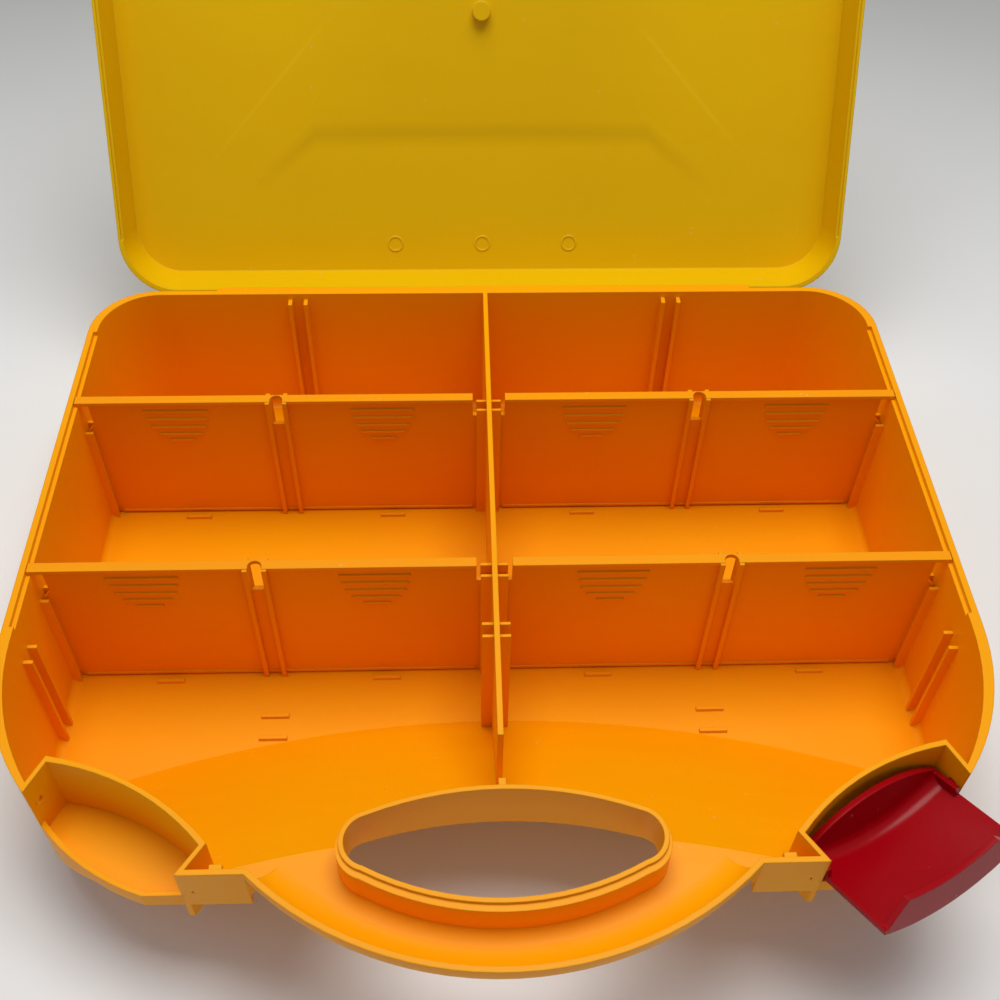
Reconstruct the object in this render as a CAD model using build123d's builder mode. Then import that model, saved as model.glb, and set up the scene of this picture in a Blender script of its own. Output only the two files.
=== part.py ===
import os
from math import cos, radians, sin, sqrt

from build123d import *

# Two-compartment carry case for small tackle: orange base tray with a moulded centre
# spine, a yellow lid on a long rear hinge, four lift-out cross dividers and one red
# corner latch. All sizes in mm, +X right, +Y to the hinge, +Z up, Z = 0 on the table.

# overall plan
HALF_W = 175.0  # half the overall width
BACK_Y = 139.8  # outside of the rear rim
FRONT_Y = -140.0  # straight front wall beside the handle
HANDLE_Y = -171.8  # front of the handle at the centre line
CORNER_R = 27.0  # rear corner radius
SIDE_END_Y = -52.0  # where the straight side starts to curve in
SHOULDER = (154.6, -109.5)  # point on the front corner sweep
FRONT_X = 100.0  # inner end of the front corner sweep
HANDLE_R = 117.0  # outside radius of the handle bow

# base tray heights and walls
RIM_Z = 72.0
FLOOR_T = 2.0
WALL = 1.9
RIM_W = 4.0  # rim width along the sides
BACK_IN = 137.2  # inside of the rear wall
LIP_W = 2.4  # raised outer lip of the rim
LEDGE_DROP = 2.0  # inner ledge below the lip
BAND_Z = 64.0  # underside of the rim band
RAMP_Y = -486.0  # centre of the coned front ramp
RAMP_R = 440.5  # its radius at floor level
RAMP_K = 1.35  # radius lost per mm of height
TROUGH_Z = 58.0  # floor inside the handle
TROUGH_ROUND = 11.0  # radius of the trough's outer corner
HANDLE_ROUND = 13.0  # radius of the grip underneath

# hand hole
HOLE_HALF = 44.0
HOLE_END_BACK_Y = -121.3
HOLE_END_FRONT_Y = -138.0
HOLE_BACK_Y = -112.9
HOLE_FRONT_Y = -149.2
HOLE_TIP = 50.4
COLLAR = 1.6

# latch pockets, in a local frame: along the chord and outward from its middle
CHORD_MID = (127.25, -125.05)
CHORD_ANGLE = 29.5
POCKET_HALF = 29.8
POCKET_BACK_HALF = 30.6
POCKET_BACK = -11.5
POCKET_DEPTH = -16.9
POCKET_Z = 44.0
POCKET_T = 1.6
LOW_RIM_Z = 49.0
POCKET_FRONT_Y = -136.2  # where the low wall turns in at its inner end
FRONT_WALL_Z = 50.5  # bottom edge of the short front walls

# latch
LATCH_N = -3.3  # pivot, outward from the chord
LATCH_Z = 60.0
LATCH_OPEN = 72.0  # degrees turned out from closed
LATCH_T = 2.2
LATCH_BOTTOM = 52.3
LATCH_TOP = 88.7
LATCH_BULGE = 6.0
LATCH_HALF = 28.9
LATCH_LIP = 12.0
LATCH_BEND = 4.5  # inside radius between the flange and the panel
PIN_R = 1.6

# dividers
DIVIDER_Y = (69.0, -19.4)
SPARE_Y = -46.8
DIVIDER_T = 2.0
FLANGE_W = 4.2
SLOT_X = 89.0
BACK_SLOT_X = 85.3
SIDE_IN = HALF_W - RIM_W
SPINE_T = 2.0
SIDE_RIB = (3.4, 1.5)  # distance either side of the slot, and thickness
SPINE_RIB = (2.7, 1.2)
BACK_RIB = (3.5, 1.8)
SPINE_FRONT_Y = -93.0
# finger grips: depth below the rim, and half length
GRIPS = ((6.6, 13.5), (11.2, 12.8), (15.8, 11.6), (19.9, 9.3), (23.6, 5.3))
GAP = 0.3

# lid and hinge
LID_Z = RIM_Z + GAP
LID_H = 22.0
LID_T = 2.0
LID_INSET = 1.3
LEDGE_Z = 85.9
LID_OPEN = 117.0
HINGE_Y = 145.5
HINGE_Z = 51.0
HINGE_R = 1.6
KNUCKLE_R = 3.5
HINGE_HALF = 122.0
HINGE_X = (-100.0, 0.0, 100.0)
STRAP_W = 16.0
EAR_W = 6.0


def chord(d, n):
    """Point at d along the right pocket's chord and n outward from it."""
    a = radians(CHORD_ANGLE)
    return (CHORD_MID[0] + d * cos(a) + n * sin(a), CHORD_MID[1] + d * sin(a) - n * cos(a))


def outline(side, back, corner, t, tip=0.0):
    """Right half of the plan: side and back positions, rear corner radius, inset t at the front."""
    px, py = SHOULDER[0] - 0.81 * (t + tip), SHOULDER[1] + 0.58 * (t + tip)
    drop = FRONT_Y + t - (HANDLE_Y + HANDLE_R)
    neck = sqrt((HANDLE_R - t) ** 2 - drop**2)
    with BuildLine() as half:
        Line((0, back), (side - corner, back))
        RadiusArc((side - corner, back), (side, back - corner), corner)
        Line((side, back - corner), (side, SIDE_END_Y))
        sweep_arc = TangentArc((side, SIDE_END_Y), (px, py), tangent=(0, -1))
        TangentArc((px, py), (FRONT_X, FRONT_Y + t), tangent=sweep_arc % 1)
        Line((FRONT_X, FRONT_Y + t), (neck, FRONT_Y + t))
        ThreePointArc((neck, FRONT_Y + t), handle_point(neck / 2, t), (0, HANDLE_Y + t))
    return half.line


def handle_point(x, t):
    return (x, HANDLE_Y + HANDLE_R - sqrt((HANDLE_R - t) ** 2 - x * x))


def plan_sketch(side, back, corner, t, z, tip=0.0):
    """Full plan as a face at height z."""
    with BuildSketch(Plane.XY.offset(z)) as face:
        with BuildLine():
            add(outline(side, back, corner, t, tip))
            mirror(about=Plane.YZ)
        make_face()
    return face.sketch


def lens_sketch(z, grow, outward, sign, back_grow=None):
    """Latch pocket plan; grow moves the inner walls, outward is how far it runs past the chord."""
    back = grow if back_grow is None else back_grow
    a = chord(-(POCKET_HALF + grow), outward)
    b = chord(-(POCKET_HALF + grow), 0)
    c = chord(-(POCKET_BACK_HALF + grow), POCKET_BACK - back)
    m = chord(0, POCKET_DEPTH - back)
    e = chord(POCKET_BACK_HALF + grow, POCKET_BACK - back)
    f = chord(POCKET_HALF + grow, 0)
    g = chord(POCKET_HALF + grow, outward)
    with BuildSketch(Plane.XY.offset(z)) as face:
        with BuildLine():
            Polyline([flip(p, sign) for p in (c, b, a, g, f, e)])
            ThreePointArc(flip(e, sign), flip(m, sign), flip(c, sign))
        make_face()
    return face.sketch


def flip(p, sign):
    return (p[0] * sign, p[1])


def hole_sketch(z, grow):
    """Eye-shaped hand hole plan, grown outward by grow."""
    with BuildSketch(Plane.XY.offset(z)) as face:
        with BuildLine():
            ThreePointArc((-HOLE_HALF, HOLE_END_BACK_Y), (0, HOLE_BACK_Y), (HOLE_HALF, HOLE_END_BACK_Y))
            mid = (HOLE_TIP, (HOLE_END_BACK_Y + HOLE_END_FRONT_Y) / 2)
            ThreePointArc((HOLE_HALF, HOLE_END_BACK_Y), mid, (HOLE_HALF, HOLE_END_FRONT_Y))
            front = (0, HOLE_FRONT_Y)
            ThreePointArc((HOLE_HALF, HOLE_END_FRONT_Y), front, (-HOLE_HALF, HOLE_END_FRONT_Y))
            mid = (-HOLE_TIP, mid[1])
            ThreePointArc((-HOLE_HALF, HOLE_END_FRONT_Y), mid, (-HOLE_HALF, HOLE_END_BACK_Y))
        make_face()
        if grow:
            offset(amount=grow, kind=Kind.ARC)
    return face.sketch


def ramp_radius(z, t=0.0):
    """Cone radius of the front ramp at height z, t below its inner face."""
    return RAMP_R - RAMP_K * (z - FLOOR_T) - t * sqrt(1 + RAMP_K**2)


def bow_round(edge_r, base_z, r):
    """Cutter that rounds the lower outside edge of the handle bow, as a part ring."""
    cy = HANDLE_Y + HANDLE_R
    a = radians(43.3)
    start = Plane(origin=(0, cy, 0), x_dir=(-sin(a), -cos(a), 0), z_dir=(-cos(a), sin(a), 0))
    with BuildPart() as ring:
        with BuildSketch(start):
            with BuildLine():
                k = r * sqrt(0.5)
                Polyline((edge_r, base_z + r), (edge_r + 2, base_z + r), (edge_r + 2, base_z - 2),
                         (edge_r - r, base_z - 2), (edge_r - r, base_z))
                ThreePointArc((edge_r - r, base_z), (edge_r - r + k, base_z + r - k), (edge_r, base_z + r))
            make_face()
        revolve(axis=Axis((0, cy, 0), (0, 0, 1)), revolution_arc=86.6)
    return ring.part


def box(x, y, z, mode=Mode.ADD):
    """Box between two corners, each axis given as a (low, high) pair."""
    with Locations(((x[0] + x[1]) / 2, (y[0] + y[1]) / 2, (z[0] + z[1]) / 2)):
        Box(x[1] - x[0], y[1] - y[0], z[1] - z[0], mode=mode)


def rod(centre, direction, radius, length, mode=Mode.ADD):
    """Round bar centred at a point and lying along a direction."""
    with Locations(Plane(origin=centre, z_dir=direction)):
        Cylinder(radius, length, mode=mode)


def floor_bars(x, y):
    """Two short bars on the floor, either side of a divider's foot."""
    for r in (-5.0, 5.0):
        box((x - 5.5, x + 5.5), (y + r - 0.8, y + r + 0.8), (FLOOR_T - 0.5, FLOOR_T + 1.4))


def beyond_latch(z, inset, s):
    """Everything outward of the closed latch panel, inset from its outer face."""
    wide = LATCH_HALF + 3
    corners = [chord(LATCH_HALF, -inset), chord(wide, -inset - 1.3), chord(wide, 40),
               chord(-wide, 40), chord(-wide, -inset - 1.3), chord(-LATCH_HALF, -inset)]
    with BuildSketch(Plane.XY.offset(z)) as face:
        with BuildLine():
            Polyline([flip(p, s) for p in corners])
            ThreePointArc(flip(corners[-1], s), flip(chord(0, LATCH_BULGE - inset), s), flip(corners[0], s))
        make_face()
    return face.sketch


def save(part, name):
    part.label = name
    export_step(part, f"parts/{name}.step")


os.makedirs("parts", exist_ok=True)

# ---- base tray: the space inside it, worked out first as its own solid
with BuildPart() as cavity:
    add(plan_sketch(SIDE_IN, BACK_IN, CORNER_R - 3, WALL, FLOOR_T, 0.3))
    extrude(amount=RIM_Z - FLOOR_T + 1)
    fillet(cavity.faces().sort_by(Axis.Z)[0].edges(), 3)
    with Locations((0, RAMP_Y, FLOOR_T)):
        Cone(RAMP_R, ramp_radius(TROUGH_Z), TROUGH_Z - FLOOR_T, mode=Mode.SUBTRACT,
             align=(Align.CENTER, Align.CENTER, Align.MIN))
    for s in (-1, 1):
        add(lens_sketch(FLOOR_T, POCKET_T, 40, s))
        extrude(amount=RIM_Z, mode=Mode.SUBTRACT)
    add(hole_sketch(FLOOR_T, COLLAR))
    extrude(amount=RIM_Z, mode=Mode.SUBTRACT)
    add(bow_round(HANDLE_R - WALL, TROUGH_Z, TROUGH_ROUND), mode=Mode.SUBTRACT)

# centre spine, cut to the ramp so it stays inside the tray
with BuildPart() as spine:
    box((-SPINE_T / 2, SPINE_T / 2), (SPINE_FRONT_Y, BACK_IN + 0.6), (1, RIM_Z))
    at, t = SPINE_RIB
    for y in (*DIVIDER_Y, SPARE_Y):
        for r in (-at, at):
            box((-5.2, 5.2), (y + r - t / 2, y + r + t / 2), (1, RIM_Z - 5))
    box((-1.2, 1.2), (HOLE_BACK_Y + COLLAR - 0.4, HOLE_BACK_Y + COLLAR + 2.6), (50, RIM_Z - 0.5))
    with Locations((0, RAMP_Y, 0)):
        Cone(ramp_radius(0, 1), ramp_radius(TROUGH_Z, 1), TROUGH_Z,
             align=(Align.CENTER, Align.CENTER, Align.MIN), mode=Mode.SUBTRACT)

# ---- base tray, one moulding with the spine, ribs, handle and hinge ears
with BuildPart() as base_tray:
    add(plan_sketch(HALF_W, BACK_Y, CORNER_R, 0, 0))
    extrude(amount=RIM_Z)
    # side and rear walls step in below the rim band
    with BuildSketch(Plane.XY) as relief:
        with BuildLine():
            add(outline(HALF_W + 9, BACK_Y + 9, CORNER_R, 0))
            mirror(about=Plane.YZ)
        make_face()
        add(plan_sketch(HALF_W - 1.9, BACK_Y - 0.5, CORNER_R - 1.2, 0, 0), mode=Mode.SUBTRACT)
        with Locations((0, -204)):
            Rectangle(500, 200, mode=Mode.SUBTRACT)
    extrude(amount=BAND_Z, mode=Mode.SUBTRACT)
    # underside rises in a shallow cone towards the handle
    with Locations((0, RAMP_Y, 0)):
        Cone(ramp_radius(0, FLOOR_T), ramp_radius(TROUGH_Z - FLOOR_T, FLOOR_T), TROUGH_Z - FLOOR_T,
             align=(Align.CENTER, Align.CENTER, Align.MIN), mode=Mode.SUBTRACT)
    add(cavity.part, mode=Mode.SUBTRACT)
    add(bow_round(HANDLE_R, TROUGH_Z - FLOOR_T, HANDLE_ROUND), mode=Mode.SUBTRACT)
    # latch pockets: cups open above with a low outer wall, hollow underneath
    for s in (-1, 1):
        with BuildSketch(Plane.XY.offset(POCKET_Z - WALL)):
            add(lens_sketch(POCKET_Z - WALL, POCKET_T, 40, s))
            add(plan_sketch(HALF_W, BACK_Y, CORNER_R, 0, POCKET_Z - WALL), mode=Mode.INTERSECT)
        extrude(amount=RIM_Z - POCKET_Z + WALL)
        add(lens_sketch(LOW_RIM_Z, 0, 40, s))
        extrude(amount=RIM_Z, mode=Mode.SUBTRACT)
        for z, height in ((POCKET_Z, LOW_RIM_Z - POCKET_Z), (0, POCKET_Z - WALL)):
            with BuildSketch(Plane.XY.offset(z)):
                add(lens_sketch(z, 0, 40, s))
                add(plan_sketch(HALF_W - WALL, BACK_IN, CORNER_R - WALL, WALL, z), mode=Mode.INTERSECT)
            extrude(amount=height, mode=Mode.SUBTRACT)
        # the low wall turns in at its inner end, and the front wall beside it reaches lower
        box(sorted((s * 101.6, s * 118)), (FRONT_Y - 2, POCKET_FRONT_Y), (POCKET_Z - 4, RIM_Z), Mode.SUBTRACT)
        box(sorted((s * 99, s * 114.5)), (POCKET_FRONT_Y, POCKET_FRONT_Y + POCKET_T), (POCKET_Z - WALL, LOW_RIM_Z))
        box(sorted((s * 80, s * 101.4)), (FRONT_Y, FRONT_Y + WALL), (FRONT_WALL_Z, TROUGH_Z - 1))
    # hand hole with a second, slightly lower ridge round its front
    with Locations((0, -1.4)):
        add(hole_sketch(TROUGH_Z - 1, COLLAR + 1.0))
    extrude(amount=RIM_Z - TROUGH_Z - 0.2)
    add(hole_sketch(-1, 0))
    extrude(amount=RIM_Z + 2, mode=Mode.SUBTRACT)
    # ledge inside the outer lip along both sides
    with BuildSketch(Plane.XY.offset(RIM_Z - LEDGE_DROP)):
        add(plan_sketch(HALF_W - LIP_W, BACK_Y - LIP_W, CORNER_R - LIP_W, 0, RIM_Z))
        with Locations((0, 33)):
            Rectangle(400, 158, mode=Mode.INTERSECT)
    extrude(amount=LEDGE_DROP + 1, mode=Mode.SUBTRACT)
    add(spine.part)
    # guide ribs for the dividers, and for lengthwise ones on the back wall
    for s in (-1, 1):
        wall = sorted((s * (SIDE_IN - 3.4), s * (SIDE_IN + 1)))
        at, t = SIDE_RIB
        for y in (*DIVIDER_Y, SPARE_Y):
            for r in (-at, at):
                box(wall, (y + r - t / 2, y + r + t / 2), (1, 56))
        at, t = BACK_RIB
        for x in (s * BACK_SLOT_X - at, s * BACK_SLOT_X + at):
            box((x - t / 2, x + t / 2), (BACK_IN - 4.2, BACK_IN + 1), (1, RIM_Z - 3))
    # short floor bars either side of every divider foot
    for y in DIVIDER_Y:
        for x in (-131.5, -43.5, 43.5, 131.5):
            floor_bars(x, y)
    for x in (-87.5, 87.5):
        floor_bars(x, SPARE_Y)
    # small tabs inside the short front walls
    for s in (-1, 1):
        at = sorted((s * 87, s * 91))
        box(at, (FRONT_Y + WALL - 0.5, FRONT_Y + WALL + 1.6), (TROUGH_Z - 1, RIM_Z - 0.2))
    # hinge strip along the rear rim, and the ears that hold the hinge rod
    box((-HINGE_HALF, HINGE_HALF), (BACK_Y - 1, BACK_Y + 2.2), (RIM_Z - 3.5, RIM_Z))
    for x in HINGE_X:
        for s in (-1, 1):
            at = sorted((x + s * (STRAP_W / 2 + 0.4), x + s * (STRAP_W / 2 + 0.4 + EAR_W)))
            box(at, (BACK_Y - 1.5, HINGE_Y), (HINGE_Z - 3, HINGE_Z + 3))
            rod(((at[0] + at[1]) / 2, HINGE_Y, HINGE_Z), (1, 0, 0), KNUCKLE_R, EAR_W)
    rod((0, HINGE_Y, HINGE_Z), (1, 0, 0), HINGE_R + 0.02, 2 * HINGE_HALF, Mode.SUBTRACT)
    # pivot sockets in the ends of both latch pockets
    for s in (-1, 1):
        along = flip((cos(radians(CHORD_ANGLE)), sin(radians(CHORD_ANGLE))), s)
        middle = (*flip(chord(0, LATCH_N), s), LATCH_Z)
        rod(middle, (*along, 0), PIN_R + 0.08, 2 * POCKET_HALF + 7.4, Mode.SUBTRACT)
save(base_tray.part, "base_tray")

# ---- hinge rod: plain round wire, held by the ears of the tray
with BuildPart() as hinge_rod:
    rod((0, HINGE_Y, HINGE_Z), (1, 0, 0), HINGE_R, 2 * HINGE_HALF - 6)
    chamfer(hinge_rod.edges().filter_by(GeomType.CIRCLE), 0.4)
save(hinge_rod.part, "hinge_rod")


# ---- lift-out dividers, one flanged plate used four times
def divider(y, s, name):
    """Divider across one side (s = 1 right, -1 left) with its plate centred at y."""
    front = y - DIVIDER_T / 2
    inner = SPINE_T / 2 + 0.5
    outer = SIDE_IN - 0.4
    foot = FLOOR_T + GAP
    with BuildPart() as plate:
        with BuildSketch(Plane.XZ.offset(-y)):
            with BuildLine():
                Polyline(
                    (inner, foot), (outer - 3, foot), (outer, foot + 3), (outer, 54), (outer - 3.5, 58),
                    (outer - 3.5, RIM_Z - 1),
                    (6.8, RIM_Z - 1), (6.8, RIM_Z - 10), (inner, RIM_Z - 10), close=True,
                )
            make_face()
        extrude(amount=DIVIDER_T / 2, both=True)
        # flange along the top: its outer end rests on the ledge, its inner end stops short of the spine
        w = FLANGE_W / 2
        box((6.8, HALF_W - LIP_W - 0.4), (y - w, y + w), (RIM_Z - LEDGE_DROP + GAP, RIM_Z))
        # thickened ends that fill the guide ribs
        box((inner, inner + 2.4), (y - 1.7, y + 1.7), (foot, RIM_Z - 12))
        box((outer - 2.4, outer), (y - 2.2, y + 2.2), (foot + 3.2, 53))
        # bead along the foot, front and back
        box((7, outer - 5), (front - 0.6, front + DIVIDER_T + 0.6), (foot + 0.8, foot + 2.0))
        # slot for a lengthwise divider: a pair of ribs each side, and a round notch in the front
        for r in (-3.6, 3.6):
            box((SLOT_X + r - 0.9, SLOT_X + r + 0.9), (y - 3.3, y + 3.3), (foot, RIM_Z - 0.2))
        with Locations((SLOT_X, y - 0.9, RIM_Z - 6.5)):
            Cylinder(2.65, 15, mode=Mode.SUBTRACT)
        box((SLOT_X - 2.65, SLOT_X + 2.65), (y - 5, y - 0.9), (RIM_Z - 14, RIM_Z + 1), Mode.SUBTRACT)
        # finger grips: five short bars that shorten downwards, two sets on the front face
        for x in (45.0, 131.5):
            for drop, half in GRIPS:
                box((x - half, x + half), (front - 0.55, front + 0.3), (RIM_Z - drop, RIM_Z - drop + 1.2))
    part = plate.part if s > 0 else plate.part.mirror(Plane.YZ)
    save(part, name)


divider(DIVIDER_Y[0], -1, "divider_rear_left")
divider(DIVIDER_Y[0], 1, "divider_rear_right")
divider(DIVIDER_Y[1], -1, "divider_front_left")
divider(DIVIDER_Y[1], 1, "divider_front_right")

# ---- lid, modelled closed and then swung open about the hinge
with BuildPart() as lid_cavity:
    loft([
        plan_sketch(HALF_W - 3.6, BACK_Y - 3.6, 24, 3.4, LID_Z),
        plan_sketch(HALF_W - 5.6, BACK_Y - 8.7, 21, 5.4, LID_Z + LID_H - LID_T),
    ], ruled=True)
    for s in (-1, 1):
        add(lens_sketch(LID_Z, LID_T, 40, s))
        extrude(amount=LID_H, mode=Mode.SUBTRACT)
    add(hole_sketch(LID_Z, COLLAR))
    extrude(amount=LID_H, mode=Mode.SUBTRACT)

with BuildPart() as lid:
    loft([
        plan_sketch(HALF_W - LID_INSET, BACK_Y - LID_INSET, CORNER_R - 1, LID_INSET, LID_Z),
        plan_sketch(HALF_W - 3.4, BACK_Y - 6.4, 23, 3.2, LID_Z + LID_H),
    ], ruled=True)
    fillet(lid.faces().sort_by(Axis.Z)[-1].edges(), 1.2)
    add(lid_cavity.part, mode=Mode.SUBTRACT)
    for s in (-1, 1):
        add(lens_sketch(LEDGE_Z, 0, 40, s))
        extrude(amount=LID_H, mode=Mode.SUBTRACT)
        add(lens_sketch(LID_Z, 0, 40, s))
        extrude(amount=LEDGE_Z - 2.3 - LID_Z, mode=Mode.SUBTRACT)
        # the ledge stops short so that the latch panel stands outside it
        with BuildSketch(Plane.XY.offset(LID_Z)):
            add(lens_sketch(LID_Z, 0, 40, s))
            add(beyond_latch(LID_Z, LATCH_T + 0.6, s), mode=Mode.INTERSECT)
        extrude(amount=LID_H, mode=Mode.SUBTRACT)
    add(hole_sketch(LID_Z, 0))
    extrude(amount=LID_H + 1, mode=Mode.SUBTRACT)
    # low step round the rim of the sides
    with BuildSketch(Plane.XY.offset(LID_Z)):
        add(plan_sketch(HALF_W - 2.6, BACK_Y - 2.6, CORNER_R - 2, 2.6, LID_Z))
        with Locations((0, 15)):
            Rectangle(400, 195, mode=Mode.INTERSECT)
    extrude(amount=1.2, mode=Mode.SUBTRACT)
    # raised panel on the outside
    with BuildSketch(Plane.XY.offset(LID_Z + LID_H - 0.1)):
        with Locations((0, -8)):
            RectangleRounded(250, 172, 26)
    extrude(amount=1.1)
    # inside: centre knob, and three faint ejector rings
    with Locations((0, 10.8, LID_Z + LID_H - LID_T - 2.0)):
        Cylinder(4.2, 4.4)
    for x in (-43.0, 0, 43.0):
        with BuildSketch(Plane.XY.offset(LID_Z + LID_H - LID_T - 0.3)):
            with Locations((x, 118.1)):
                Circle(3.8)
                Circle(3.1, mode=Mode.SUBTRACT)
        extrude(amount=0.6)
    # hinge flange, and straps that reach down to the rod; a lug on each is the open stop
    box((-HINGE_HALF + 1, HINGE_HALF - 1), (BACK_Y - 4, HINGE_Y + 1.8), (LID_Z, LID_Z + 2.6))
    for x in HINGE_X:
        half = STRAP_W / 2
        box((x - half, x + half), (HINGE_Y - 0.7, HINGE_Y + 1.8), (HINGE_Z - 4.4, LID_Z + 1))
        box((x - half, x + half), (HINGE_Y, HINGE_Y + 4.4), (HINGE_Z - 4.4, HINGE_Z - 1.9))
        rod((x, HINGE_Y, HINGE_Z), (1, 0, 0), KNUCKLE_R, STRAP_W)
        rod((x, HINGE_Y, HINGE_Z), (1, 0, 0), HINGE_R + 0.08, STRAP_W, Mode.SUBTRACT)
open_lid = lid.part.rotate(Axis((0, HINGE_Y, HINGE_Z), (1, 0, 0)), -LID_OPEN)
save(open_lid, "lid")

# ---- right corner latch, modelled closed in the pocket and then turned out
latch_along = (cos(radians(CHORD_ANGLE)), sin(radians(CHORD_ANGLE)), 0)
with BuildPart() as latch:
    # bottom flange, lens shaped, on the pocket's low wall
    with BuildSketch(Plane.XY.offset(LATCH_BOTTOM)) as flange_plan:
        with BuildLine():
            ThreePointArc(chord(-LATCH_HALF, 0), chord(0, LATCH_BULGE), chord(LATCH_HALF, 0))
            Line(chord(LATCH_HALF, 0), chord(LATCH_HALF, -5.5))
            ThreePointArc(chord(LATCH_HALF, -5.5), chord(0, -13.6), chord(-LATCH_HALF, -5.5))
            Line(chord(-LATCH_HALF, -5.5), chord(-LATCH_HALF, 0))
        make_face()
    extrude(amount=LATCH_T)
    # curved panel that closes the corner, and a lip that hooks over the lid
    with BuildSketch(Plane.XY.offset(LATCH_BOTTOM)) as panel_plan:
        with BuildLine():
            ThreePointArc(chord(-LATCH_HALF, 0), chord(0, LATCH_BULGE), chord(LATCH_HALF, 0))
            Line(chord(LATCH_HALF, 0), chord(LATCH_HALF, -LATCH_T))
            ThreePointArc(chord(LATCH_HALF, -LATCH_T), chord(0, LATCH_BULGE - LATCH_T),
                          chord(-LATCH_HALF, -LATCH_T))
            Line(chord(-LATCH_HALF, -LATCH_T), chord(-LATCH_HALF, 0))
        make_face()
    extrude(amount=LATCH_TOP - LATCH_BOTTOM)
    bend = (*chord(0, LATCH_BULGE - LATCH_T), LATCH_BOTTOM + LATCH_T)
    fillet(latch.edges().sort_by_distance(bend)[:1], LATCH_BEND)
    with BuildSketch(Plane.XY.offset(LATCH_TOP - LATCH_T)):
        with BuildLine():
            ThreePointArc(chord(-LATCH_HALF, 0), chord(0, LATCH_BULGE), chord(LATCH_HALF, 0))
            Line(chord(LATCH_HALF, 0), chord(LATCH_HALF - 10, LATCH_BULGE - 3 - LATCH_LIP))
            ThreePointArc(chord(LATCH_HALF - 10, LATCH_BULGE - 3 - LATCH_LIP), chord(0, LATCH_BULGE - LATCH_LIP),
                          chord(10 - LATCH_HALF, LATCH_BULGE - 3 - LATCH_LIP))
            Line(chord(10 - LATCH_HALF, LATCH_BULGE - 3 - LATCH_LIP), chord(-LATCH_HALF, 0))
        make_face()
    extrude(amount=LATCH_T)
    # cheeks that carry the pivot pins
    for s in (-1, 1):
        mx, my = chord(s * (LATCH_HALF - 0.9), -2.6)
        with Locations(Location((mx, my, (LATCH_BOTTOM + 64) / 2), (0, 0, CHORD_ANGLE))):
            Box(1.8, 5.4, 64 - LATCH_BOTTOM)
        rod((*chord(s * (LATCH_HALF + 1.2), LATCH_N), LATCH_Z), latch_along, PIN_R, 3.4)
latch_axis = Axis((*chord(0, LATCH_N), LATCH_Z), latch_along)
save(latch.part.rotate(latch_axis, LATCH_OPEN), "latch_right")
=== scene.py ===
import math

import bmesh
import bpy
from mathutils import Matrix, Vector

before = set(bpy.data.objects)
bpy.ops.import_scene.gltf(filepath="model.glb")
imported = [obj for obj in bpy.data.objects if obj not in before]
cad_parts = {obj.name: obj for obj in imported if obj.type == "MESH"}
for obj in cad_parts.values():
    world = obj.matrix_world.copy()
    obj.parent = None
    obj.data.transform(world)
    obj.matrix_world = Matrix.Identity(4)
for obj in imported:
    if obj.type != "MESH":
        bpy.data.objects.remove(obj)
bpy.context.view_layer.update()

# ---- Base tray.
# One injection moulding in orange polypropylene: floor, walls, centre spine, ribs, latch
# pockets and handle. Its skin is semi-gloss and faintly rippled, with flow marks from the
# gate, fine handling scuffs and a little pale dust; its edges come softly rounded, painted lighter
# as a highlight.
ORANGE = (0.96, 0.385, 0.0)
ORANGE_DEEP = (0.93, 0.345, 0.0)
# lighter orange painted along the rounded edges as a highlight, and also used for scuffs
ORANGE_HIGHLIGHT_AND_WEAR = (0.97, 0.47, 0.01)
DUST = (0.75, 0.66, 0.52)
PLASTIC_IOR = 1.49
PLASTIC_SHINE = 0.14
COAT_ROUGHNESS = 0.18
RIPPLE_STRENGTH = 0.30
RIPPLE_DEPTH = 0.0006
FULL_RANGE = (0.0, 1.0)
FALLING = (1.0, 0.0)


def make_group(name, inputs, outputs):
    """Shader node group; an input is (name, kind, default) and an output is (name, kind)."""
    tree = bpy.data.node_groups.new(name, "ShaderNodeTree")
    for label, kind, default in inputs:
        socket = tree.interface.new_socket(label, in_out="INPUT", socket_type=kind)
        socket.default_value = default
    for label, kind in outputs:
        tree.interface.new_socket(label, in_out="OUTPUT", socket_type=kind)
    return tree, tree.nodes.new("NodeGroupInput"), tree.nodes.new("NodeGroupOutput")


def add_node(tree, kind, values=(), **settings):
    """Node of a kind, with settings as attributes and values as (socket, constant) pairs."""
    node = tree.nodes.new(kind)
    for key, value in settings.items():
        setattr(node, key, value)
    for socket, value in values:
        node.inputs[socket].default_value = value
    return node


def noise(tree, vector, scale, detail=2.0, rough=0.5):
    values = [("Scale", scale), ("Detail", detail), ("Roughness", rough)]
    node = add_node(tree, "ShaderNodeTexNoise", values)
    tree.links.new(vector, node.inputs["Vector"])
    return node.outputs["Fac"]


def stretched(tree, vector, scale):
    """The same place with each axis scaled by its own amount."""
    node = add_node(tree, "ShaderNodeMapping", [("Scale", scale)])
    tree.links.new(vector, node.inputs["Vector"])
    return node.outputs["Vector"]


def remap(tree, value, source, target=FULL_RANGE):
    """Value stretched from one (start, end) range to another, and held there."""
    pairs = [("From Min", source[0]), ("From Max", source[1])]
    pairs += [("To Min", target[0]), ("To Max", target[1])]
    node = add_node(tree, "ShaderNodeMapRange", pairs)
    tree.links.new(value, node.inputs["Value"])
    return node.outputs["Result"]


def maths(tree, operation, a, b=0.0):
    """One math node; each of a and b is a number or a socket."""
    node = add_node(tree, "ShaderNodeMath", operation=operation)
    for slot, value in enumerate((a, b)):
        if isinstance(value, (int, float)):
            node.inputs[slot].default_value = value
        else:
            tree.links.new(value, node.inputs[slot])
    return node.outputs[0]


def times(tree, a, b):
    return maths(tree, "MULTIPLY", a, b)


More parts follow.
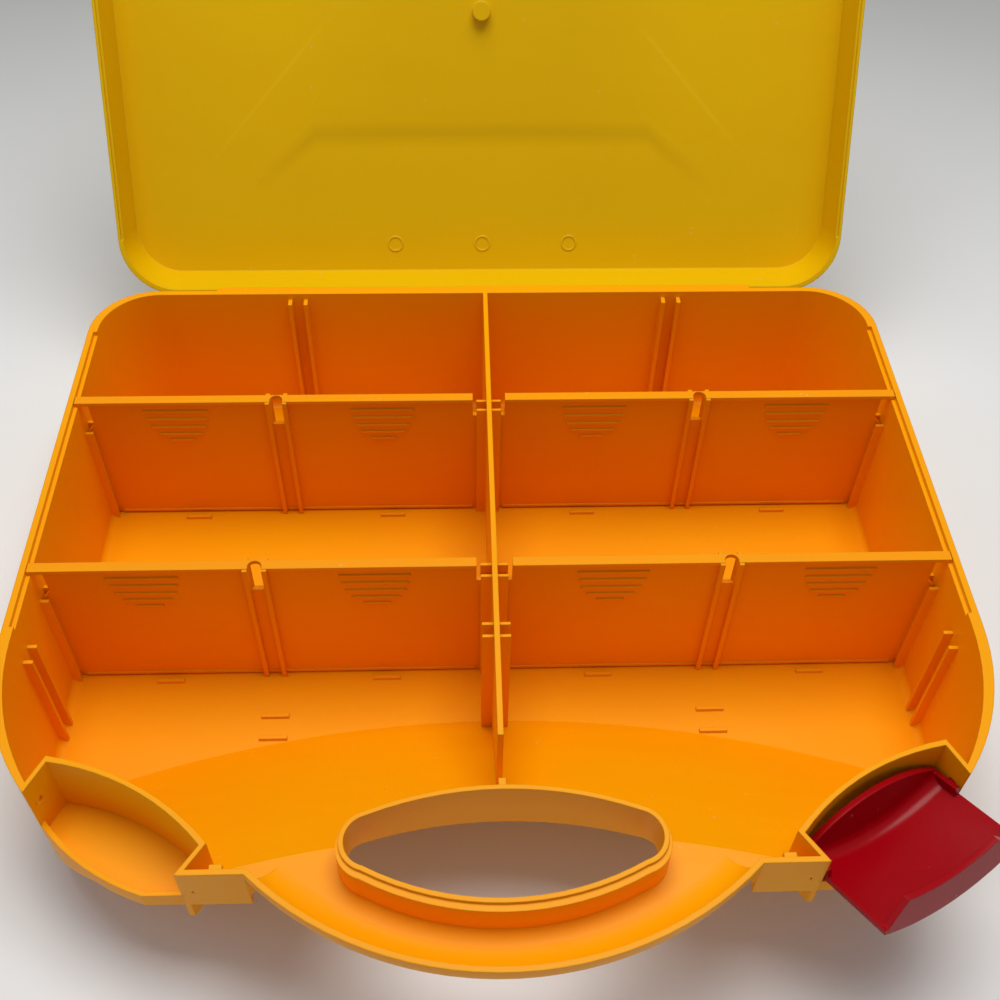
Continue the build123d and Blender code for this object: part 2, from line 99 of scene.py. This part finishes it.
def mix_colour(tree, factor, a, b):
    """Colour mix; each of a and b is a constant or a socket."""
    node = add_node(tree, "ShaderNodeMix", data_type="RGBA")
    tree.links.new(factor, node.inputs[0])
    ends = [socket for socket in node.inputs if socket.type == "RGBA"]
    for socket, value in zip(ends, (a, b)):
        if isinstance(value, tuple):
            socket.default_value = (*value, 1.0)
        else:
            tree.links.new(value, socket)
    return [socket for socket in node.outputs if socket.type == "RGBA"][0]


def make_skin():
    """Moulded skin: drift of tint, scuff and dust masks, and the height of its ripple."""
    tree, into, out = make_group(
        "moulded_skin",
        [("Vector", "NodeSocketVector", (0, 0, 0)), ("Scuffs", "NodeSocketFloat", 0.5)],
        [("Tint", "NodeSocketFloat"), ("Wear", "NodeSocketFloat"),
         ("Dust", "NodeSocketFloat"), ("Height", "NodeSocketFloat")],
    )
    place = into.outputs["Vector"]

    # broad drift, and streaks drawn out along the flow from the gate
    broad_scale, broad_share = 7.0, 0.6
    flow_stretch, flow_scale, flow_share = (6, 30, 10), 1.6, 0.4
    broad = remap(tree, noise(tree, place, broad_scale, 3.0), (0.32, 0.68))
    along_flow = stretched(tree, place, flow_stretch)
    flow = remap(tree, noise(tree, along_flow, flow_scale, 3.0, 0.6), (0.35, 0.7))
    tint = maths(tree, "ADD", times(tree, broad, broad_share), times(tree, flow, flow_share))
    tree.links.new(tint, out.inputs["Tint"])

    # hair scuffs in two directions, kept to worn patches
    scuff_ways = [((900, 22, 60), (0.66, 0.72)), ((26, 760, 60), (0.67, 0.73))]
    patch_scale = 14.0
    hairs = [
        remap(tree, noise(tree, stretched(tree, place, way), 1.0), limits)
        for way, limits in scuff_ways
    ]
    scuffs = times(tree, maths(tree, "MAXIMUM", *hairs), into.outputs["Scuffs"])
    patch = remap(tree, noise(tree, place, patch_scale, 4.0), (0.45, 0.65))
    tree.links.new(times(tree, scuffs, patch), out.inputs["Wear"])

    # sparse dust specks
    speck_scale, spread_scale = 210.0, 90.0
    speck = add_node(tree, "ShaderNodeTexVoronoi", [("Scale", speck_scale)])
    tree.links.new(place, speck.inputs["Vector"])
    dots = remap(tree, speck.outputs["Distance"], (0.10, 0.16), FALLING)
    few = remap(tree, noise(tree, place, spread_scale, 1.0), (0.62, 0.70))
    tree.links.new(times(tree, dots, few), out.inputs["Dust"])

    # fine peel on a slow ripple, with the scuffs cut in
    peel_scale, peel_height = 420.0, 0.12
    ripple_scale, ripple_height = 38.0, 0.9
    scuff_depth = 0.05
    peel = times(tree, noise(tree, place, peel_scale), peel_height)
    ripple = times(tree, noise(tree, place, ripple_scale), ripple_height)
    relief = maths(tree, "ADD", peel, ripple)
    cut = maths(tree, "SUBTRACT", relief, times(tree, scuffs, scuff_depth))
    tree.links.new(cut, out.inputs["Height"])
    return tree


def make_edge():
    """Rounded edges: the softened normal, and a mask of where it leaves the true one."""
    tree, into, out = make_group(
        "edge_soften",
        [("Radius", "NodeSocketFloat", 0.0006)],
        [("Normal", "NodeSocketVector"), ("Edge", "NodeSocketFloat")],
    )
    soft = add_node(tree, "ShaderNodeBevel", samples=4)
    tree.links.new(into.outputs["Radius"], soft.inputs["Radius"])
    surface = add_node(tree, "ShaderNodeNewGeometry")
    turn = add_node(tree, "ShaderNodeVectorMath", operation="DOT_PRODUCT")
    tree.links.new(soft.outputs["Normal"], turn.inputs[0])
    tree.links.new(surface.outputs["Normal"], turn.inputs[1])
    tree.links.new(soft.outputs["Normal"], out.inputs["Normal"])
    mask = remap(tree, turn.outputs["Value"], (0.80, 0.99), FALLING)
    tree.links.new(mask, out.inputs["Edge"])
    return tree


SKIN = make_skin()
EDGE = make_edge()


def plastic(name, base, deep, highlight_and_wear_tone, gloss, scuffs=0.5, radius=0.0006, coat=0.0):
    """Moulded plastic: its tint drifts from deep to base, and gloss is its roughness range."""
    edge_highlight_share, dust_share, wear_share, wear_roughness = 0.7, 0.12, 0.25, 0.25
    material = bpy.data.materials.new(name)
    material.use_nodes = True
    tree = material.node_tree
    shader = tree.nodes["Principled BSDF"]
    where = add_node(tree, "ShaderNodeTexCoord")
    marks = add_node(tree, "ShaderNodeGroup", node_tree=SKIN)
    marks.inputs["Scuffs"].default_value = scuffs
    tree.links.new(where.outputs["Object"], marks.inputs["Vector"])
    rims = add_node(tree, "ShaderNodeGroup", node_tree=EDGE)
    rims.inputs["Radius"].default_value = radius

    # the rounded edges are painted lighter as a painted highlight; dust and scuffs are real marks
    layers = [
        (rims.outputs["Edge"], edge_highlight_share, highlight_and_wear_tone),
        (marks.outputs["Dust"], dust_share, DUST),
        (marks.outputs["Wear"], wear_share, highlight_and_wear_tone),
    ]
    tone = mix_colour(tree, marks.outputs["Tint"], deep, base)
    for mask, share, colour in layers:
        tone = mix_colour(tree, times(tree, mask, share), tone, colour)
    tree.links.new(tone, shader.inputs["Base Color"])

    smooth, dull = gloss
    gloss_now = remap(tree, marks.outputs["Tint"], FULL_RANGE, (dull, smooth))
    worn = times(tree, marks.outputs["Wear"], wear_roughness)
    tree.links.new(maths(tree, "ADD", gloss_now, worn), shader.inputs["Roughness"])

    ripple = [("Strength", RIPPLE_STRENGTH), ("Distance", RIPPLE_DEPTH)]
    bump = add_node(tree, "ShaderNodeBump", ripple)
    tree.links.new(marks.outputs["Height"], bump.inputs["Height"])
    tree.links.new(rims.outputs["Normal"], bump.inputs["Normal"])
    tree.links.new(bump.outputs["Normal"], shader.inputs["Normal"])
    shader.inputs["IOR"].default_value = PLASTIC_IOR
    shader.inputs["Specular IOR Level"].default_value = PLASTIC_SHINE
    shader.inputs["Coat Weight"].default_value = coat
    shader.inputs["Coat Roughness"].default_value = COAT_ROUGHNESS
    return material


def dress(name, material):
    """A CAD node shown with its own material."""
    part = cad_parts[name]
    part.data.materials.clear()
    part.data.materials.append(material)


orange = plastic("orange_tray", ORANGE, ORANGE_DEEP, ORANGE_HIGHLIGHT_AND_WEAR, gloss=(0.33, 0.45))
dress("base_tray", orange)

# ---- Lift-out dividers.
# Four thin flanged plates of the same orange plastic, a touch duller, and painted a touch
# redder and darker as shade on the upright plates; they drop between the guide ribs.
DIVIDER_SHADED_ORANGE = (0.94, 0.345, 0.0)
DIVIDER_SHADED_DEEP = (0.90, 0.30, 0.0)
divider_shaded_orange = plastic("orange_divider_shaded", DIVIDER_SHADED_ORANGE, DIVIDER_SHADED_DEEP, ORANGE_HIGHLIGHT_AND_WEAR,
                         gloss=(0.36, 0.48), scuffs=0.7, radius=0.0005)
for row in ("rear", "front"):
    for side in ("left", "right"):
        dress(f"divider_{row}_{side}", divider_shaded_orange)

# ---- Lid.
# A shallow yellow polypropylene moulding on the rear hinge. Inside it carries painted shade
# as a soft darker band and panel, and two pale diagonals of painted highlight, following the
# raised panel on its outside.
YELLOW = (0.80, 0.50, 0.0)
YELLOW_DEEP = (0.76, 0.46, 0.0)
# lighter yellow painted as a highlight on the rounded edges and the two diagonals, and also used
# for scuffs
YELLOW_HIGHLIGHT_AND_WEAR = (0.88, 0.60, 0.02)
YELLOW_SHADE = (0.52, 0.31, 0.0)
LID_OPEN = math.radians(117.0)
HINGE = Vector((0.0, 0.1455, 0.051))
LINE_FADE = 0.03
BAND_SHADE_SHARE = 0.38
PANEL_SHADE_SHARE = 0.16
DIAGONAL_HIGHLIGHT_SHARE = 0.25
yellow = plastic("yellow_lid", YELLOW, YELLOW_DEEP, YELLOW_HIGHLIGHT_AND_WEAR, gloss=(0.36, 0.48), radius=0.0008)
dress("lid", yellow)

# places on the lid are measured from the hinge line, as if it were closed
lid_tree = yellow.node_tree
lid_shader = lid_tree.nodes["Principled BSDF"]
unfold = Matrix.Rotation(LID_OPEN, 3, "X")
closed = add_node(lid_tree, "ShaderNodeMapping",
                  [("Location", -(unfold @ HINGE)), ("Rotation", (LID_OPEN, 0.0, 0.0))])
lid_place = add_node(lid_tree, "ShaderNodeTexCoord")
lid_tree.links.new(lid_place.outputs["Object"], closed.inputs["Vector"])
axes = add_node(lid_tree, "ShaderNodeSeparateXYZ")
lid_tree.links.new(closed.outputs["Vector"], axes.inputs["Vector"])
off_centre = maths(lid_tree, "ABSOLUTE", axes.outputs["X"])
along = axes.outputs["Y"]


def lid_line(bend_x, level_y, slope, half_width, end_x):
    """Soft line: level out to bend_x, then sloping towards the hinge, gone by end_x."""
    past = maths(lid_tree, "MAXIMUM", maths(lid_tree, "SUBTRACT", off_centre, bend_x), 0.0)
    from_level = maths(lid_tree, "SUBTRACT", along, level_y)
    aside = maths(lid_tree, "SUBTRACT", from_level, times(lid_tree, past, slope))
    near = remap(lid_tree, maths(lid_tree, "ABSOLUTE", aside), (0.0, half_width), FALLING)
    fade = remap(lid_tree, off_centre, (end_x - LINE_FADE, end_x), FALLING)
    return times(lid_tree, near, fade)


# painted shade: a soft darker band and a darker panel inside the lid
band = lid_line(bend_x=0.080, level_y=-0.0795, slope=0.80, half_width=0.0065, end_x=0.112)
beyond = remap(lid_tree, along, (-0.082, -0.078), FALLING)
middle = remap(lid_tree, off_centre, (0.045, 0.100), FALLING)
panel = times(lid_tree, times(lid_tree, beyond, middle), PANEL_SHADE_SHARE)
shade = maths(lid_tree, "ADD", times(lid_tree, band, BAND_SHADE_SHARE), panel)
plain = lid_shader.inputs["Base Color"].links[0].from_socket
shaded = mix_colour(lid_tree, shade, plain, YELLOW_SHADE)
# painted highlight: two pale diagonal lines inside the lid
slant = lid_line(bend_x=0.075, level_y=-0.1275, slope=1.1, half_width=0.0020, end_x=0.140)
highlight_diagonal = times(lid_tree, slant, remap(lid_tree, off_centre, (0.072, 0.080)))
lit = mix_colour(lid_tree, times(lid_tree, highlight_diagonal, DIAGONAL_HIGHLIGHT_SHARE), shaded, YELLOW_HIGHLIGHT_AND_WEAR)
lid_tree.links.new(lit, lid_shader.inputs["Base Color"])

# ---- Corner latch.
# A small deep red moulding, pinned in its corner pocket. It is glossier and more scuffed
# than the case, with a satin streak where its inside bend catches the light.
RED = (0.36, 0.0, 0.004)
RED_DEEP = (0.29, 0.0, 0.003)
# lighter red painted along the rounded edges as a highlight, and also used for scuffs
RED_HIGHLIGHT_AND_WEAR = (0.50, 0.01, 0.015)
red = plastic("red_latch", RED, RED_DEEP, RED_HIGHLIGHT_AND_WEAR, gloss=(0.26, 0.36), scuffs=0.9,
              radius=0.0009, coat=0.08)
dress("latch_right", red)

# ---- Hinge rod.
# Drawn steel wire, 3.2 mm thick, bright with fine lengthwise drawing lines and a
# little brown tarnish; the ears of the tray hold it.
STEEL = (0.56, 0.56, 0.57)
TARNISH = (0.33, 0.25, 0.19)
TARNISH_SCALE = 60.0
DRAWN_STRETCH = (12, 2400, 2400)
DRAWN_ROUGHNESS = (0.22, 0.40)
steel = bpy.data.materials.new("steel_rod")
steel.use_nodes = True
steel_tree = steel.node_tree
steel_shader = steel_tree.nodes["Principled BSDF"]
steel_place = add_node(steel_tree, "ShaderNodeTexCoord").outputs["Object"]
drawn = noise(steel_tree, stretched(steel_tree, steel_place, DRAWN_STRETCH), 1.0)
tarnish = remap(steel_tree, noise(steel_tree, steel_place, TARNISH_SCALE, 4.0), (0.5, 0.72))
steel_tone = mix_colour(steel_tree, tarnish, STEEL, TARNISH)
steel_tree.links.new(steel_tone, steel_shader.inputs["Base Color"])
steel_shader.inputs["Metallic"].default_value = 1.0
steel_roughness = remap(steel_tree, drawn, (0.3, 0.7), DRAWN_ROUGHNESS)
steel_tree.links.new(steel_roughness, steel_shader.inputs["Roughness"])
dress("hinge_rod", steel)

# ---- Studio floor.
# A pale plain surface, slightly mottled, that the case stands on; painted shade darkens it
# a little towards the back, where the light falls off.
FLOOR_HALF = 3.0
PAPER = (0.81, 0.815, 0.815)
PAPER_LIGHT = (0.85, 0.855, 0.85)
PAPER_PAINTED_SHADE = (0.36, 0.36, 0.345)
PAPER_SHADE_SPAN_Y = (0.15, 0.75)
PAPER_ROUGHNESS = (0.55, 0.65)
MOTTLE_SCALE = 5.0
floor_mesh = bpy.data.meshes.new("studio_floor")
sheet = bmesh.new()
signs = ((-1, -1), (1, -1), (1, 1), (-1, 1))
sheet.faces.new([sheet.verts.new((x * FLOOR_HALF, y * FLOOR_HALF, 0)) for x, y in signs])
sheet.to_mesh(floor_mesh)
sheet.free()
floor = bpy.data.objects.new("studio_floor", floor_mesh)
bpy.context.scene.collection.objects.link(floor)
paper = bpy.data.materials.new("pale_floor")
paper.use_nodes = True
paper_tree = paper.node_tree
paper_shader = paper_tree.nodes["Principled BSDF"]
paper_place = add_node(paper_tree, "ShaderNodeTexCoord").outputs["Object"]
mottle = remap(paper_tree, noise(paper_tree, paper_place, MOTTLE_SCALE, 3.0), (0.3, 0.7))
paper_tone = mix_colour(paper_tree, mottle, PAPER, PAPER_LIGHT)
paper_axes = add_node(paper_tree, "ShaderNodeSeparateXYZ")
paper_tree.links.new(paper_place, paper_axes.inputs["Vector"])
# painted shade: the floor darkens towards the back
paper_back_shade = remap(paper_tree, paper_axes.outputs["Y"], PAPER_SHADE_SPAN_Y)
paper_shaded = mix_colour(paper_tree, paper_back_shade, paper_tone, PAPER_PAINTED_SHADE)
paper_tree.links.new(paper_shaded, paper_shader.inputs["Base Color"])
paper_rough = remap(paper_tree, mottle, FULL_RANGE, PAPER_ROUGHNESS)
paper_tree.links.new(paper_rough, paper_shader.inputs["Roughness"])
floor_mesh.materials.append(paper)

# ---- Light.
# One large soft panel overhead, a weak fill from the left, and a dim neutral surround.
# Plain display colours keep the bright plastics as saturated as they are.
LIT_CENTRE = Vector((0.0, 0.0, 0.04))
SURROUND = (0.80, 0.82, 0.85, 1.0)
SURROUND_STRENGTH = 0.34
PANELS = (
    # name, place, size, power in watts, tone
    ("panel_top", (0.05, 0.16, 1.25), (0.9, 0.7), 12.0, (1.0, 0.99, 0.97)),
    ("panel_left", (-1.3, -0.1, 1.0), (0.8, 0.8), 1.2, (1.0, 0.98, 0.96)),
)
for name, place, size, power, tone in PANELS:
    panel_data = bpy.data.lights.new(name, "AREA")
    panel_data.shape = "RECTANGLE"
    panel_data.size, panel_data.size_y = size
    panel_data.energy = power
    panel_data.color = tone
    lamp = bpy.data.objects.new(name, panel_data)
    lamp.location = place
    lamp.rotation_euler = (LIT_CENTRE - Vector(place)).to_track_quat("-Z", "Y").to_euler()
    bpy.context.scene.collection.objects.link(lamp)
world = bpy.data.worlds.new("surround")
world.use_nodes = True
background = world.node_tree.nodes["Background"]
background.inputs["Color"].default_value = SURROUND
background.inputs["Strength"].default_value = SURROUND_STRENGTH
bpy.context.scene.world = world
bpy.context.scene.view_settings.view_transform = "Standard"

# ---- Camera.
# Stands in front of the case and above it, looking down into the tray, with a lens a
# little longer than normal.
CAMERA_PLACE = (-0.01274, -0.30340, 0.42930)
CAMERA_TURN = (41.375, -0.972, -1.750)
SENSOR_WIDTH = 36.0
LENS = 44.064
CLIP_START = 0.01
camera_data = bpy.data.cameras.new("camera")
camera_data.sensor_width = SENSOR_WIDTH
camera_data.lens = LENS
camera_data.clip_start = CLIP_START
camera = bpy.data.objects.new("camera", camera_data)
camera.location = CAMERA_PLACE
camera.rotation_euler = [math.radians(angle) for angle in CAMERA_TURN]
bpy.context.scene.collection.objects.link(camera)
bpy.context.scene.camera = camera
